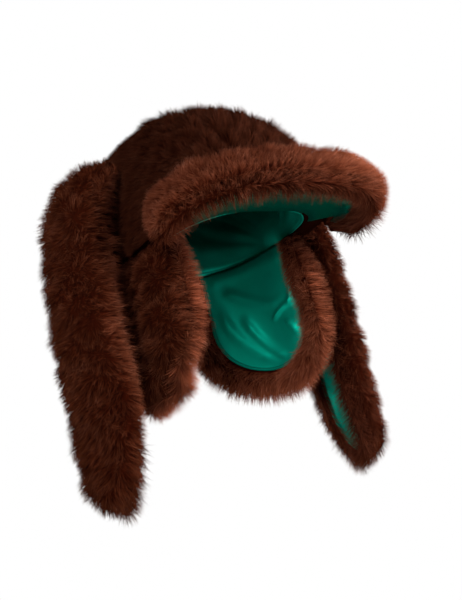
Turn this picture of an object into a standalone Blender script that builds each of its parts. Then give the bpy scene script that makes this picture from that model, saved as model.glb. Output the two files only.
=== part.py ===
"""A trapper hat of deep plush faux fur with a satin lining and two long hanging ears.

Metres, +Z up. The origin is the middle of the head opening, in the plane of the rim. The
wearer looks along -Y and has the left hand at +X. Every piece is a sheet of padded fur or
of satin: a grid of points on its cloth side, and the same grid again on its other side.
"""

import math

import bmesh
import bpy
import numpy as np

# Head hollow, inside the lining
HEAD_HALF_WIDTH = 0.082
HEAD_HALF_LENGTH = 0.100
HEAD_DEPTH = 0.123
DOME_POWER = 2.9  # 2 is an ellipsoid, more is fuller at the shoulders
CROWN_LEAN = 0.020  # how far the top of the crown lies behind the rim's middle

# Layers of the cloth
SATIN = 0.0015
PADDING = 0.010
PILE = 0.024
GAP = 0.0003
LAYER_GAP = 0.0006  # between a lining and the padding behind it
SEAM_SLACK = 0.08  # share of its first strip by which a satin panel stays inside the seam
SEAT_GAP = 0.0019  # between the crown's round side and the flat faces of an ear's root

# Locks of the pile: rounded tufts that lean the way the fur lies
LOCK_PITCH = 0.038
LOCK_RELIEF = 0.0035
LOCK_LEAN = 0.004
LOCK_WANDER = 0.25  # how far a column of tufts strays, as a share of the pitch
LOCK_WANDER_PITCHES = 3.1
LOCK_SKEW = 0.2
TIP_NOTCH = 0.006  # how far the fringe is cut back between two tips

# Crown
CENTRE_PANEL_HALF_WIDTH = 0.046
SEAM_WIDTH = 0.006
SEAM_DEPTH = 0.007
DOME_GIRTH = 1.3  # length round the dome from top to rim, by its half width
TUFTS_START = 0.048  # height above the rim below which the crown's fur is plain

# Peak
PEAK_HALF_ANGLE = 63.0
PEAK_LENGTH = 0.060
PEAK_CORNER_POWER = 5.0
PEAK_END_LENGTH = 0.010
PEAK_END_TAPER = 0.10  # share of the half peak over which its fur thins out to the end
PEAK_END_FULLNESS = 0.4
PEAK_TILT_FRONT = 16.0
PEAK_TILT_END = -20.0
PEAK_FRINGE = 0.026
PEAK_FRINGE_SHARE = 0.6  # of the length, at most, where the peak is short
PEAK_TUCK = 0.018  # how far the fur rolls round below the satin
PEAK_LINING_REACH = 0.90
PEAK_LINING_SLACK = 0.001
PEAK_LINING_TAB_ANGLE = 46.0  # up to here the satin runs on under the brow
PEAK_LINING_TAB_FADE = 5.0

# Ear flaps, sizes of the satin panel and of the fur round it
FLAP_HALF_WIDTH = 0.063
FLAP_LENGTH = 0.136
FLAP_ROUND = 0.066
FLAP_FRINGE = 0.0335
FLAP_TUCK = 0.008
FLAP_FOLD_PITCH = 0.062

# Long ears, sizes of the satin strip and of the fur round it
EAR_HALF_WIDTH = 0.024
EAR_LENGTH = 0.362
EAR_ROUND = 0.150
EAR_FRINGE = 0.024
EAR_TUCK = 0.005
EAR_ROOT_Y = 0.032
EAR_ROOT_HEIGHT = 0.094
EAR_ROOT_DIVE = 24.0
EAR_BEND_LENGTH = 0.062
EAR_CURL_RADIUS = 0.032
EAR_CURL_START = 0.030
EAR_CURL_RUN = 0.090
EAR_ROOT_CURL = 0.12  # share of the full curl at the root
EAR_LINING_START = 0.120
SPINE_MARGIN = 0.02
SPINE_STEPS = 400

# What differs between the two sides: turns in degrees, folds and drifts in metres. An ear's
# drift is how far back its tip has swung.
SIDES = (
    {"side": "right", "sign": -1, "middle": 118, "flare": 4.0, "fold": 0.007, "drift": -0.005, "twist": 0},
    {"side": "left", "sign": 1, "middle": 120, "flare": 4.5, "fold": 0.002, "drift": 0.022, "twist": -9},
)

# Grid steps
ARC_STEPS = 34
RIM_CROWDING = 0.035  # how much closer together the arcs' points lie near the rim
CENTRE_STEPS = 6
SIDE_STEPS = 9
LINING_SKIP = 3  # the lining, which is plain, keeps one in three of a side panel's lines
PEAK_STEPS = 32
PEAK_LINING_STEPS = 28
PEAK_PANEL_SHARES = (0.5, 1.0)  # rings between the peak's fringe and its root
TONGUE_SIDE_STEPS = 9
TONGUE_TIP_STEPS = 12
EAR_SIDE_STEPS = 17
EAR_TIP_STEPS = 8
FRINGE_SHARES = (0.0, 0.35, 0.70, 1.0)  # rings between the tips and the seam
FRINGE_FULLNESS = (0.25, 0.76, 0.95, 1.0)  # how thick the fur is at each ring
TUCK_FULLNESS = (0.50, 1.0, 0.80, 0.0)  # how far it bulges on the satin side
PANEL_SHARES = (0.33, 0.67, 1.0)  # rings between the seam and the middle line

MERGE_DISTANCE = 1e-6
NORMAL_STEP = 1e-4

FUR_LAYER = SATIN + LAYER_GAP
FUR_THICKNESS = PADDING + PILE


def clear_scene():
    """Remove whatever the file holds."""
    for old in list(bpy.data.objects):
        bpy.data.objects.remove(old, do_unlink=True)


def surface_material(name, colour, roughness, sheen):
    """A plain Principled surface."""
    made = bpy.data.materials.new(name)
    made.use_nodes = True
    shader = made.node_tree.nodes["Principled BSDF"]
    shader.inputs["Base Color"].default_value = (*colour, 1.0)
    shader.inputs["Roughness"].default_value = roughness
    shader.inputs["Metallic"].default_value = 0.0
    shader.inputs["Sheen Weight"].default_value = sheen
    return made


def smooth_step(value):
    """0 below 0, 1 above 1, and an S between."""
    held = np.clip(value, 0.0, 1.0)
    return held * held * (3.0 - 2.0 * held)


def locks(across, along):
    """Rounded tufts in staggered rows, from -1 in a parting to 1 on a lock's back."""
    wander = LOCK_WANDER * np.sin(2 * math.pi * along / (LOCK_WANDER_PITCHES * LOCK_PITCH))
    column = np.sin(2 * math.pi * (across / LOCK_PITCH + wander))
    row = np.sin(2 * math.pi * (along / LOCK_PITCH + LOCK_SKEW * np.cos(across / LOCK_PITCH)))
    return column * row


def grid_triangles(rows, columns, start):
    """Two triangles for each cell of a grid whose first point is number start."""
    row, column = np.meshgrid(np.arange(rows - 1), np.arange(columns - 1), indexing="ij")
    first = start + row * columns + column
    across, beyond, down = first + columns, first + columns + 1, first + 1
    upper = np.stack([first, across, beyond], axis=-1).reshape(-1, 3)
    lower = np.stack([first, beyond, down], axis=-1).reshape(-1, 3)
    return np.concatenate([upper, lower])


def border_path(rows, columns, open_last_column):
    """Point numbers round a grid's edge, or round three sides where the fourth is folded on itself."""
    last_row = (rows - 1) * columns
    first = np.arange(columns - 1, 0, -1)
    side = np.arange(0, last_row + 1, columns)
    end = last_row + np.arange(1, columns)
    if open_last_column:
        return np.concatenate([first, side, end])
    back = np.arange(last_row - 1, columns - 1, -columns)
    return np.concatenate([first, side, end, back, first[:1]])


def sheet_solid(name, outer, inner, material, parent, folded=False):
    """Close two like grids into one body, merge what meets and turn its faces out."""
    rows, columns = outer.shape[:2]
    count = rows * columns
    points = np.concatenate([outer.reshape(-1, 3), inner.reshape(-1, 3)])
    path = border_path(rows, columns, folded)
    here, there = path[:-1], path[1:]
    walls = np.concatenate([
        np.stack([here, there, there + count], axis=-1),
        np.stack([here, there + count, here + count], axis=-1),
    ])
    back = grid_triangles(rows, columns, count)[:, ::-1]
    faces = np.concatenate([grid_triangles(rows, columns, 0), back, walls])
    shape = bmesh.new()
    verts = [shape.verts.new(point) for point in points.tolist()]
    for face in faces.tolist():
        shape.faces.new([verts[index] for index in face])
    bmesh.ops.remove_doubles(shape, verts=shape.verts, dist=MERGE_DISTANCE)
    bmesh.ops.recalc_face_normals(shape, faces=shape.faces)
    mesh = bpy.data.meshes.new(name)
    shape.to_mesh(mesh)
    shape.free()
    mesh.shade_smooth()
    mesh.materials.append(material)
    made = bpy.data.objects.new(name, mesh)
    made.parent = parent
    parent.users_collection[0].objects.link(made)
    return made


def crown_lean(height):
    """How far back the crown has leaned at a height: nothing at the rim, all of it at the top."""
    return CROWN_LEAN * smooth_step(height / HEAD_DEPTH)


def dome(width_share, arc_share, layer):
    """A point of the crown, layer metres out from the head hollow.

    width_share runs from -1 at the right to 1 at the left; arc_share runs from 0 at the
    front of the rim, over the top, to 1 at its back. Each arc is a rounded box curve.
    """
    shrink = np.clip(1.0 - np.abs(width_share) ** DOME_POWER, 0.0, 1.0) ** (1.0 / DOME_POWER)
    turn_cos = np.cos(math.pi * arc_share)
    turn_sin = np.clip(np.sin(math.pi * arc_share), 0.0, 1.0)
    bend = 2.0 / DOME_POWER
    x = (HEAD_HALF_WIDTH + layer) * width_share
    y = -(HEAD_HALF_LENGTH + layer) * shrink * np.sign(turn_cos) * np.abs(turn_cos) ** bend
    z = (HEAD_DEPTH + layer) * shrink * turn_sin**bend
    return np.stack(np.broadcast_arrays(x, y + crown_lean(z), z), axis=-1)


def rim_radius(angle, layer):
    """How far the rim lies from the middle, at an angle from the front in radians."""
    wide = np.abs(np.sin(angle)) / (HEAD_HALF_WIDTH + layer)
    deep = np.abs(np.cos(angle)) / (HEAD_HALF_LENGTH + layer)
    return (wide**DOME_POWER + deep**DOME_POWER) ** (-1.0 / DOME_POWER)


def seam_share():
    """Where the panels' seam lies, as a share of the dome's half width."""
    return CENTRE_PANEL_HALF_WIDTH / (HEAD_HALF_WIDTH + FUR_LAYER + FUR_THICKNESS)


def crown_pile(width_share, arc_share):
    """Thickness of the crown's fur: padding and pile, tufts, and a groove along each seam.

    The tufts fade out along the rim and round the roots of the ears, where pieces are sewn on.
    """
    half_width = HEAD_HALF_WIDTH + FUR_LAYER + FUR_THICKNESS
    arc_length = math.pi * (HEAD_DEPTH + FUR_THICKNESS)
    from_seam = (np.abs(width_share) - seam_share()) * half_width
    groove = SEAM_DEPTH * np.exp(-((from_seam / SEAM_WIDTH) ** 2))
    shape = dome(width_share, arc_share, FUR_LAYER + FUR_THICKNESS)
    above_rim = smooth_step((shape[..., 2] - TUFTS_START) / LOCK_PITCH)
    mirrored = np.stack([np.abs(shape[..., 0]), shape[..., 1], shape[..., 2]], axis=-1)
    from_root = np.linalg.norm(mirrored - ear_root(), axis=-1)
    clear_root = smooth_step((from_root - EAR_HALF_WIDTH - EAR_FRINGE) / LOCK_PITCH)
    tufts = LOCK_RELIEF * locks(width_share * half_width * DOME_GIRTH, arc_share * arc_length)
    return FUR_THICKNESS - groove + tufts * above_rim * clear_root


def crown_arcs():
    """Arc shares from the front rim to the back rim, closer together near the rim."""
    even = np.linspace(0.0, 1.0, ARC_STEPS + 1)
    return even - RIM_CROWDING * np.sin(2 * math.pi * even) / math.pi


def crown_panel(name, shares, material, parent):
    """One fur panel between two width shares."""
    width_share, arc_share = np.meshgrid(shares, crown_arcs(), indexing="ij")
    thickness = crown_pile(width_share, arc_share)
    outer = dome(width_share, arc_share, FUR_LAYER + thickness)
    inner = dome(width_share, arc_share, FUR_LAYER)
    return sheet_solid(name, outer, inner, material, parent)


def side_shares(slack):
    """Width shares of a side panel, from the seam down to the rim at the side."""
    turn = np.linspace(math.asin(seam_share() + slack), 0.5 * math.pi, SIDE_STEPS + 1)
    return np.sin(turn)


def build_crown(fur, satin, parent):
    """The centre panel, the two side panels and the lining under them."""
    slack = 0.5 * GAP / HEAD_HALF_WIDTH
    edge = seam_share() - slack
    crown_panel("crown_centre_panel", np.linspace(-edge, edge, CENTRE_STEPS + 1), fur, parent)
    for row in SIDES:
        shares = row["sign"] * side_shares(slack)
        crown_panel(f"crown_side_panel_{row['side']}", shares, fur, parent)
    coarse = side_shares(0.0)[::LINING_SKIP]
    shares = np.concatenate([-coarse[::-1], [0.0], coarse])
    width_share, arc_share = np.meshgrid(shares, crown_arcs()[::2], indexing="ij")
    outer = dome(width_share, arc_share, SATIN)
    inner = dome(width_share, arc_share, 0.0)
    sheet_solid("crown_lining", outer, inner, satin, parent)


def peak_length(angle_share):
    """Length of the peak beyond the crown: full over the brow, short and round at its ends."""
    full = np.clip(1.0 - np.abs(angle_share) ** PEAK_CORNER_POWER, 0.0, 1.0)
    return PEAK_END_LENGTH + (PEAK_LENGTH - PEAK_END_LENGTH) * np.sqrt(full)


def peak_point(angle_share, out, up):
    """A point of the peak: out along it from the crown's fur, and up from its satin side."""
    angle = np.radians(PEAK_HALF_ANGLE) * angle_share
    droop = (PEAK_TILT_FRONT - PEAK_TILT_END) * angle_share**4
    tilt = np.radians(PEAK_TILT_FRONT - droop)
    root = rim_radius(angle, FUR_LAYER + FUR_THICKNESS) + GAP
    held = np.where(out > 0.0, tilt, 0.0)
    radius = root + out * np.cos(held) - np.maximum(up, 0.0) * np.sin(np.maximum(held, 0.0)) * (out > PADDING)
    z = out * np.sin(held) + up * np.cos(held)
    return np.stack([radius * np.sin(angle), -radius * np.cos(angle), z], axis=-1)


def build_peak(fur, satin, parent):
    """The peak's fur, thick and rolled over at its edge, and the satin under it."""
    shares = np.linspace(-1.0, 1.0, PEAK_STEPS + 1)[:, None]
    length = peak_length(shares)
    fringe = np.minimum(PEAK_FRINGE, PEAK_FRINGE_SHARE * length)
    from_edge = fringe * np.array([FRINGE_SHARES])
    inward = fringe + (length - fringe) * np.array([PEAK_PANEL_SHARES])
    notch = np.zeros_like(from_edge)
    notch[1::2, 0] = TIP_NOTCH
    out = length - np.concatenate([from_edge + notch, inward], axis=1)
    angle_share = np.broadcast_to(shares, out.shape)
    fullness = np.array(FRINGE_FULLNESS + (1.0,) * len(PEAK_PANEL_SHARES))
    tuck = np.array(TUCK_FULLNESS + (0.0,) * len(PEAK_PANEL_SHARES))
    taper = smooth_step((1.0 - np.abs(angle_share)) / PEAK_END_TAPER)
    ends = PEAK_END_FULLNESS + (1.0 - PEAK_END_FULLNESS) * taper
    brow_length = np.radians(PEAK_HALF_ANGLE) * (HEAD_HALF_LENGTH + FUR_LAYER + FUR_THICKNESS)
    tufts = LOCK_RELIEF * locks(angle_share * brow_length, out)
    tufts = tufts * smooth_step(out / PADDING)
    top = fullness * ends * (FUR_THICKNESS + tufts)
    outer = peak_point(angle_share, out, top)
    inner = peak_point(angle_share, out, -tuck * ends * PEAK_TUCK)
    sheet_solid("peak", outer, inner, fur, parent)

    shares = np.linspace(-PEAK_LINING_REACH, PEAK_LINING_REACH, PEAK_LINING_STEPS + 1)[:, None]
    whole = peak_length(shares)
    length = whole - np.minimum(PEAK_FRINGE, PEAK_FRINGE_SHARE * whole) - PEAK_LINING_SLACK
    tab_end = (np.abs(shares) * PEAK_HALF_ANGLE - PEAK_LINING_TAB_ANGLE) / PEAK_LINING_TAB_FADE
    tab = -FUR_THICKNESS * (1.0 - smooth_step(tab_end))
    root = np.full_like(length, PEAK_LINING_SLACK)
    out = np.concatenate([length, 0.5 * length, root, tab], axis=1)
    angle_share = np.broadcast_to(shares, out.shape)
    outer = peak_point(angle_share, out, np.full(out.shape, -LAYER_GAP))
    inner = peak_point(angle_share, out, np.full(out.shape, -LAYER_GAP - SATIN))
    sheet_solid("peak_lining", outer, inner, satin, parent)


def tongue_outline(half_width, length, round_length, side_steps, tip_steps):
    """A tongue's edge from its near top corner round the tip, and the middle points it faces.

    The sides are straight, and the tip is half an ellipse of round_length.
    """
    straight = length - round_length
    down = np.linspace(0.0, straight, side_steps + 1)[:-1]
    turn = np.linspace(-0.5 * math.pi, 0.5 * math.pi, tip_steps + 1)
    tip = np.stack([half_width * np.sin(turn), straight + round_length * np.cos(turn)], axis=-1)
    near = np.stack([np.full_like(down, -half_width), down], axis=-1)
    far = np.stack([np.full_like(down, half_width), down], axis=-1)[::-1]
    edge = np.concatenate([near, tip, far])
    middle = np.stack([np.zeros(len(edge)), np.minimum(edge[:, 1], straight)], axis=-1)
    return edge, middle


def tongue_rings(edge, middle, distances):
    """Flat points on rings that lie at given distances in from the edge: one column a ring."""
    inward = middle - edge
    reach = np.linalg.norm(inward, axis=-1, keepdims=True)
    share = distances / reach
    return edge[:, None, :] + inward[:, None, :] * share[..., None]


def tongue_grid(sizes):
    """Flat points of a tongue: a row for each point of its edge, a column for each ring."""
    edge, middle = tongue_outline(
        sizes["half_width"] + sizes["fringe"],
        sizes["length"] + sizes["fringe"],
        sizes["round"] + sizes["fringe"],
        sizes["side_steps"],
        sizes["tip_steps"],
    )
    reach = np.linalg.norm(middle - edge, axis=-1, keepdims=True)
    fringe = sizes["fringe"] * np.array([FRINGE_SHARES])
    panel = sizes["fringe"] + (reach - sizes["fringe"]) * np.array([PANEL_SHARES])
    distances = np.concatenate([np.repeat(fringe, len(edge), axis=0), panel], axis=1)
    distances[1::2, 0] += TIP_NOTCH
    flat = tongue_rings(edge, middle, distances)
    flat[:, -1, 0] = 0.0
    return flat


def fur_tongue(name, cloth, sizes, material, parent, sign):
    """A fur tongue: a thick padded panel with a rounded, notched fringe round its free edge."""
    flat = tongue_grid(sizes)
    across, down = flat[..., 0], flat[..., 1]
    full = np.array(FRINGE_FULLNESS + (1.0,) * len(PANEL_SHARES))
    tuck = np.array(TUCK_FULLNESS + (0.0,) * len(PANEL_SHARES))
    sewn = smooth_step(down / LOCK_PITCH)
    tufts = LOCK_RELIEF * locks(across, down) * sewn
    fur_side, normal = cloth(across, down + LOCK_LEAN * sewn * full * (full < 1.0))
    outer = fur_side + normal * (full * (FUR_THICKNESS + tufts))[..., None]
    cloth_side, normal = cloth(across, down)
    inner = cloth_side - normal * np.broadcast_to(tuck * sizes["tuck"], across.shape)[..., None]
    for grid in (outer, inner):
        grid[0] = sizes["seat"](grid[0])
        grid[-1] = sizes["seat"](grid[-1])
    side = np.array([sign, 1.0, 1.0])
    sheet_solid(name, outer * side, inner * side, material, parent, folded=True)


def satin_tongue(name, cloth, sizes, material, parent, sign):
    """The satin panel of a tongue, just clear of the fur's cloth side.

    It takes the fur's own grid from the seam inwards, so that the two stay parallel.
    """
    flat = tongue_grid(sizes)
    first = np.count_nonzero(flat[: len(flat) // 2, 0, 1] < sizes["lining_start"])
    flat = flat[first : len(flat) - first, len(FRINGE_SHARES) - 1 :]
    place, normal = cloth(flat[..., 0], flat[..., 1])
    place[:, 0] += SEAM_SLACK * (place[:, 1] - place[:, 0])
    normal[:, 0] += SEAM_SLACK * (normal[:, 1] - normal[:, 0])
    outer = place - normal * LAYER_GAP
    inner = place - normal * (LAYER_GAP + SATIN)
    side = np.array([sign, 1.0, 1.0])
    sheet_solid(name, outer * side, inner * side, material, parent, folded=True)


def with_normals(shape, facing):
    """Wrap a surface function so that it also gives unit normals on the side named by facing."""

    def wrapped(across, down):
        along_across = shape(across + NORMAL_STEP, down) - shape(across - NORMAL_STEP, down)
        along_down = shape(across, down + NORMAL_STEP) - shape(across, down - NORMAL_STEP)
        normal = facing * np.cross(along_across, along_down)
        return shape(across, down), normal / np.linalg.norm(normal, axis=-1, keepdims=True)

    return wrapped


def flap_cloth(row):
    """Cloth side of an ear flap at the wearer's left, before any mirroring.

    It hangs from the rim, flares outwards as it goes down, and has upright folds that grow
    towards its lower edge.
    """

    def shape(across, down):
        middle = math.radians(row["middle"])
        angle = middle + across / rim_radius(middle, FUR_LAYER)
        grow = down / FLAP_LENGTH
        fold = row["fold"] * grow * np.cos(2 * math.pi * across / FLAP_FOLD_PITCH)
        radius = rim_radius(angle, FUR_LAYER) + down * math.tan(math.radians(row["flare"])) + fold
        return np.stack([radius * np.sin(angle), -radius * np.cos(angle), -GAP - down], axis=-1)

    return with_normals(shape, -1.0)


def rim_seat(points):
    """Lay points level, just under the crown's rim."""
    seated = points.copy()
    seated[..., 2] = -GAP
    return seated


def build_flaps(fur, satin, parent):
    """Both ear flaps with their satin panels."""
    sizes = {
        "half_width": FLAP_HALF_WIDTH,
        "length": FLAP_LENGTH,
        "round": FLAP_ROUND,
        "fringe": FLAP_FRINGE,
        "tuck": FLAP_TUCK,
        "side_steps": TONGUE_SIDE_STEPS,
        "tip_steps": TONGUE_TIP_STEPS,
        "lining_start": 0.0,
        "seat": rim_seat,
    }
    for row in SIDES:
        cloth = flap_cloth(row)
        fur_tongue(f"ear_flap_{row['side']}", cloth, sizes, fur, parent, row["sign"])
        satin_tongue(f"ear_flap_lining_{row['side']}", cloth, sizes, satin, parent, row["sign"])


def crown_seat(points):
    """Move points sideways onto the crown's fur, at their own height and depth."""
    layer = FUR_LAYER + FUR_THICKNESS + SEAT_GAP
    high = (np.abs(points[..., 2]) / (HEAD_DEPTH + layer)) ** DOME_POWER
    from_middle = points[..., 1] - crown_lean(points[..., 2])
    deep = (np.abs(from_middle) / (HEAD_HALF_LENGTH + layer)) ** DOME_POWER
    share = np.clip(1.0 - high - deep, 0.0, 1.0) ** (1.0 / DOME_POWER)
    seated = points.copy()
    seated[..., 0] = (HEAD_HALF_WIDTH + layer) * share
    return seated


def ear_root():
    """The point of the crown's fur where the left ear's middle line starts."""
    return crown_seat(np.array([0.0, EAR_ROOT_Y, EAR_ROOT_HEIGHT]))


def ear_spine(down, drift):
    """The ear's middle line: it leaves the crown slanting down, and bends over until it hangs.

    Its slope dies away from the root's to the upright one of the hanging part.
    """
    ends = EAR_LENGTH + EAR_FRINGE
    steps = np.linspace(-SPINE_MARGIN, ends + SPINE_MARGIN, SPINE_STEPS)
    hanging = 0.5 * math.pi
    spring = hanging - math.radians(EAR_ROOT_DIVE)
    dive = spring * np.exp(-steps / EAR_BEND_LENGTH) - hanging
    stride = np.gradient(steps)
    x = np.cumsum(np.cos(dive) * stride)
    z = np.cumsum(np.sin(dive) * stride)
    root = ear_root()
    x = x - np.interp(0.0, steps, x) + root[0]
    z = z - np.interp(0.0, steps, z) + root[2]
    y = root[1] + drift * smooth_step(steps / ends)
    dive_here = np.interp(down, steps, dive)
    place = np.stack([np.interp(down, steps, axis) for axis in (x, y, z)], axis=-1)
    return place, dive_here


def ear_cloth(row):
    """Cloth side of a long ear at the wearer's left: a strip curled along its length.

    Across the strip the points lie on an arc that opens towards the head. The arc is nearly
    flat at the root and reaches its full curl further down.
    """

    def shape(across, down):
        place, dive = ear_spine(down, row["drift"])
        grow = smooth_step((down - EAR_CURL_START) / EAR_CURL_RUN)
        curl = EAR_ROOT_CURL + (1.0 - EAR_ROOT_CURL) * grow
        radius = EAR_CURL_RADIUS / curl
        start = math.radians(row["twist"]) * curl
        turn = across / radius + start
        sideways = radius * (np.sin(turn) - np.sin(start))
        inwards = radius * (np.cos(start) - np.cos(turn))
        outward = np.stack([-np.sin(dive), np.zeros_like(dive), np.cos(dive)], axis=-1)
        back = np.array([0.0, 1.0, 0.0])
        return place + back * sideways[..., None] - outward * inwards[..., None]

    return with_normals(shape, -1.0)


def build_ears(fur, satin, parent):
    """Both long ears with their satin strips."""
    sizes = {
        "half_width": EAR_HALF_WIDTH,
        "length": EAR_LENGTH,
        "round": EAR_ROUND,
        "fringe": EAR_FRINGE,
        "tuck": EAR_TUCK,
        "side_steps": EAR_SIDE_STEPS,
        "tip_steps": EAR_TIP_STEPS,
        "lining_start": EAR_LINING_START,
        "seat": crown_seat,
    }
    for row in SIDES:
        cloth = ear_cloth(row)
        fur_tongue(f"long_ear_{row['side']}", cloth, sizes, fur, parent, row["sign"])
        satin_tongue(f"long_ear_lining_{row['side']}", cloth, sizes, satin, parent, row["sign"])


def build_hat():
    """The whole hat, in a collection of its own."""
    clear_scene()
    hat = bpy.data.collections.new("faux_fur_hat")
    bpy.context.scene.collection.children.link(hat)
    middle = bpy.data.objects.new("hat_middle", None)
    hat.objects.link(middle)
    fur = surface_material("brown_plush_fur", (0.055, 0.017, 0.008), 0.85, 0.4)
    satin = surface_material("green_satin", (0.0, 0.045, 0.028), 0.32, 0.2)
    build_crown(fur, satin, middle)
    build_peak(fur, satin, middle)
    build_flaps(fur, satin, middle)
    build_ears(fur, satin, middle)


build_hat()
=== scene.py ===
# %% [markdown]
# # A faux fur hat with two hanging ears
#
# The hat is a trapper hat as it sits on a head: a round crown, a peak over the brow, two ear
# flaps and two long floppy ears. The outside is brown plush fur and the inside is green
# satin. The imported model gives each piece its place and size. This lesson dresses it: a dark
# skin with thousands of separate hairs on every fur piece, and thin wrinkled satin inside.
#
# Everything is in metres. The wearer looks along -Y and has the left hand at +X.

# %% Load the frame
import math

import bpy
import numpy as np
from mathutils import Matrix, Vector


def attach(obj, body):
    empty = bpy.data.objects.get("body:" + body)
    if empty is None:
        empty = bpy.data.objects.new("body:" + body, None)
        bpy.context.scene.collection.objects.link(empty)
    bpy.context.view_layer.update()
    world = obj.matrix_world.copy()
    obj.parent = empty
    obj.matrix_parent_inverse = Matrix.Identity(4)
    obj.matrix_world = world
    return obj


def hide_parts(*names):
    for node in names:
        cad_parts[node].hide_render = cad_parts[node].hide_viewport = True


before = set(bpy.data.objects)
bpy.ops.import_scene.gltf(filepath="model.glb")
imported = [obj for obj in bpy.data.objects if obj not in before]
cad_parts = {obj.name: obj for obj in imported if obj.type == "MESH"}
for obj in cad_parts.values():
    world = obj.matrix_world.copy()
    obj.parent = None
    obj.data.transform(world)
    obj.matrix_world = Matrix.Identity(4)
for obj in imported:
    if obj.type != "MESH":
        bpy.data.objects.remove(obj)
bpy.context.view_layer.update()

# %% [markdown]
# ## The camera
#
# The hat was photographed from its front right and from a little below, with the camera
# turned on its side by a few degrees. Three angles and a distance say that more clearly than
# a matrix would, so the matrix is worked out from them.

# %% Place the camera
LOOKED_AT = Vector((0.0, 0.0, -0.0634))
AZIMUTH = math.radians(-38.5)
ELEVATION = math.radians(-14.0)
ROLL = math.radians(-15.0)
CAMERA_DISTANCE = 1.15
LENS = 61.95
SENSOR_HEIGHT = 36.0


def camera_matrix():
    """Columns are the picture's right, its up and the way back to the camera, rolled together."""
    back = Vector((
        math.sin(AZIMUTH) * math.cos(ELEVATION),
        -math.cos(AZIMUTH) * math.cos(ELEVATION),
        math.sin(ELEVATION),
    ))
    right = Vector((math.cos(AZIMUTH), math.sin(AZIMUTH), 0.0))
    up = back.cross(right)
    rolled_right = right * math.cos(ROLL) + up * math.sin(ROLL)
    rolled_up = up * math.cos(ROLL) - right * math.sin(ROLL)
    matrix = Matrix((rolled_right, rolled_up, back)).transposed().to_4x4()
    matrix.translation = LOOKED_AT + back * CAMERA_DISTANCE
    return matrix


camera = bpy.data.objects.new("camera", bpy.data.cameras.new("camera"))
camera.data.sensor_fit = "VERTICAL"
camera.data.sensor_height = SENSOR_HEIGHT
camera.data.lens = LENS
camera.matrix_world = camera_matrix()
bpy.context.scene.collection.objects.link(camera)
bpy.context.scene.camera = camera
bpy.context.scene.view_settings.view_transform = "Standard"
print("camera height:", round(camera.matrix_world.translation.z, 3))

# %% [markdown]
# ## Sums on shader sockets
#
# A material's pattern is arithmetic on numbers that vary over the surface. Written with nodes
# alone that is hard to read, so a small class wraps a socket and gives it Python's operators:
# each use of one adds its Math node.


# %% Wrap a socket
class Signal:
    """A socket's number, which takes part in Python sums."""

    def __init__(self, paint, socket):
        self.paint = paint
        self.socket = socket

    def maths(self, operation, first, second):
        return self.paint.node("ShaderNodeMath", {"operation": operation}, {0: first, 1: second})

    def __add__(self, other):
        return self.maths("ADD", self, other)

    def __sub__(self, other):
        return self.maths("SUBTRACT", self, other)

    def __rsub__(self, other):
        return self.maths("SUBTRACT", other, self)

    def __mul__(self, other):
        return self.maths("MULTIPLY", self, other)

    __radd__ = __add__
    __rmul__ = __mul__


class Paint:
    """A material in the making: its nodes, and one Principled shader at their end."""

    def __init__(self, name):
        self.material = bpy.data.materials.new(name)
        self.material.use_nodes = True
        self.tree = self.material.node_tree
        self.shader = self.tree.nodes["Principled BSDF"]

    def feed(self, socket, value):
        """Link a signal to a socket, or set the socket to a plain value."""
        if isinstance(value, Signal):
            self.tree.links.new(value.socket, socket)
        else:
            socket.default_value = value

    def node(self, kind, settings, feeds, output=0):
        """Any node: what it is, how it is set, what goes in, and which output is wanted."""
        made = self.tree.nodes.new(kind)
        for key, value in settings.items():
            setattr(made, key, value)
        for key, value in feeds.items():
            self.feed(made.inputs[key], value)
        return Signal(self, made.outputs[output])

    def attribute(self, name):
        """A number stored on the mesh."""
        return self.node("ShaderNodeAttribute", {"attribute_name": name}, {}, "Fac")

    def ramp(self, factor, stops):
        """Colours along a line: rows of a place from 0 to 1 and a colour."""
        colours = self.node("ShaderNodeValToRGB", {}, {0: factor})
        band = colours.socket.node.color_ramp
        while len(band.elements) < len(stops):
            band.elements.new(1.0)
        for element, (place, colour) in zip(band.elements, stops):
            element.position = place
            element.color = (*colour, 1.0)
        return colours

    def mix(self, factor, first, second):
        """Two colours mixed by a factor. The colours go in at 6 and 7 and come out at 2."""
        return self.node("ShaderNodeMix", {"data_type": "RGBA"}, {0: factor, 6: first, 7: second}, 2)

    def noise(self, scale, detail):
        """Soft noise in object space, from 0 to 1."""
        where = self.node("ShaderNodeTexCoord", {}, {}, "Object")
        return self.node("ShaderNodeTexNoise", {}, {"Vector": where, "Scale": scale, "Detail": detail})

    def sine(self, signal, pitch):
        """A wave of one pitch along a length: sin(2 pi length / pitch)."""
        return self.node("ShaderNodeMath", {"operation": "SINE"}, {0: signal * (2 * math.pi / pitch)})

    def finish(self, varying, uniform):
        """Feed the shader's sockets and give back the material."""
        for key, value in {**uniform, **varying}.items():
            self.feed(self.shader.inputs[key], value)
        return self.material


# %% [markdown]
# ## Floor and light
#
# The photograph has a white ground and one strong soft light from the front left of the wearer,
# so the brow is bright and the hollow is dark. A world as white as that would also light the
# hollow, so the world shows white to the camera and lights the hat with less. A weaker lamp
# stands on the other side and a broad one behind. The pale round floor fades out towards its
# edge, so that it melts into the white with no horizon.

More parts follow.
